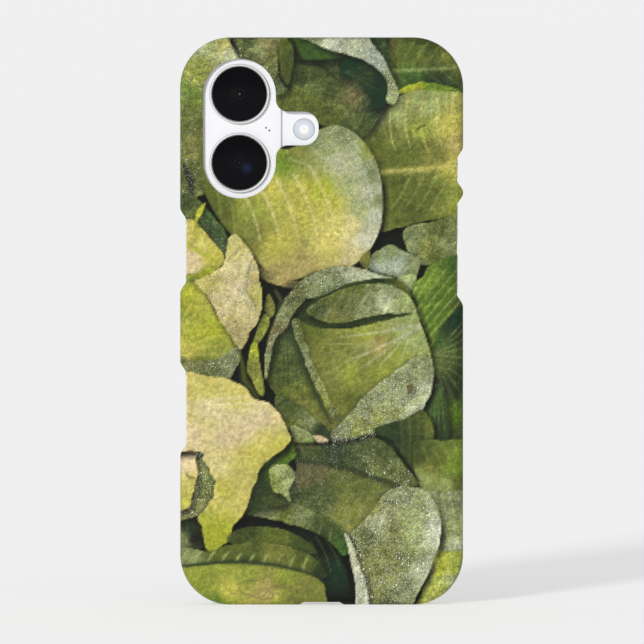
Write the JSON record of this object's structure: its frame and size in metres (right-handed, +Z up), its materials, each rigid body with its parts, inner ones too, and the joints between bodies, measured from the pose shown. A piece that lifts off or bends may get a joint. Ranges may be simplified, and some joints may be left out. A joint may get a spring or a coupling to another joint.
{
  "type": "smartphone in a printed case",
  "caption": "Slim smartphone in a thin hard case printed with a heap of cabbages, with an upright camera pill, side keys that press in and a bottom charging port.",
  "frame": {"origin": "on the surface that the case stands on, under the middle of its width and thickness", "axes": "+Z up the phone to its top edge, -Y out of the case's printed back, +Y out of the screen, +X to the right as seen from behind"},
  "size_m": [0.0754, 0.011, 0.1512],
  "materials": {
    "printed_plastic": "satin moulded plastic with a printed, clear-coated picture of cabbages",
    "band_aluminium": "fine blasted, pale silver",
    "lens_ring_aluminium": "turned and polished",
    "white_glass": "white, satin, colour backed",
    "black_glass": "polished, black backed",
    "lens_glass": "polished, coated",
    "flash_plastic": "clear, ribbed diffuser",
    "lens_black": "black anodised camera housing",
    "black_plastic": "moulded, satin",
    "circuit_board": "glass-fibre board with solder mask",
    "chip_package": "moulded chip package",
    "steel": "stamped, satin",
    "copper_winding": "copper wire and foil",
    "flex_circuit": "amber polyimide film",
    "battery_wrap": "black film wrap",
    "magnet": "nickel-plated magnets"
  },
  "bodies": {
    "phone": {"case_shell": "printed_plastic", "side_band": "band_aluminium", "back_glass": "white_glass", "front_glass": "black_glass", "display_panel": "black_glass", "mid_plate": "steel", "earpiece_mesh": "steel", "camera_bracket": "steel", "board_shield": "steel", "upper_lens_ring": "lens_ring_aluminium", "lower_lens_ring": "lens_ring_aluminium", "upper_lens_glass": "lens_glass", "lower_lens_glass": "lens_glass", "upper_camera": "lens_black", "lower_camera": "lens_black", "front_camera": "lens_black", "face_sensor": "lens_black", "flash_lens": "flash_plastic", "flash_led": "chip_package", "rear_microphone": "chip_package", "bottom_microphone": "chip_package", "logic_board": "circuit_board", "radio_board": "circuit_board", "port_board": "circuit_board", "processor": "chip_package", "memory_chip": "chip_package", "radio_chip": "chip_package", "battery_connector": "chip_package", "display_connector": "chip_package", "battery": "battery_wrap", "battery_lead": "flex_circuit", "left_switch_strip": "flex_circuit", "right_switch_strip": "flex_circuit", "charging_coil": "copper_winding", "magnet_ring": "magnet", "loudspeaker": "black_plastic", "earpiece": "black_plastic", "vibration_motor": "steel", "charge_port": "steel", "port_tongue": "black_plastic", "bottom_screw_left": "steel", "bottom_screw_right": "steel"},
    "side_button": {"side_button": "band_aluminium"},
    "camera_button": {"camera_button": "band_aluminium"},
    "action_button": {"action_button": "band_aluminium"},
    "volume_up_button": {"volume_up_button": "band_aluminium"},
    "volume_down_button": {"volume_down_button": "band_aluminium"}
  },
  "joints": [
    {"name": "side_press", "type": "slide", "parent": "phone", "child": "side_button", "axis": [1, 0, 0], "range_m": [0, 0.0003], "stiffness_N_per_m": 200, "springref_m": -0.0005},
    {"name": "camera_press", "type": "slide", "parent": "phone", "child": "camera_button", "axis": [1, 0, 0], "range_m": [0, 0.0003], "stiffness_N_per_m": 200, "springref_m": -0.0005},
    {"name": "action_press", "type": "slide", "parent": "phone", "child": "action_button", "axis": [-1, 0, 0], "range_m": [0, 0.0003], "stiffness_N_per_m": 200, "springref_m": -0.0005},
    {"name": "volume_up_press", "type": "slide", "parent": "phone", "child": "volume_up_button", "axis": [-1, 0, 0], "range_m": [0, 0.0003], "stiffness_N_per_m": 200, "springref_m": -0.0005},
    {"name": "volume_down_press", "type": "slide", "parent": "phone", "child": "volume_down_button", "axis": [-1, 0, 0], "range_m": [0, 0.0003], "stiffness_N_per_m": 200, "springref_m": -0.0005}
  ]
}
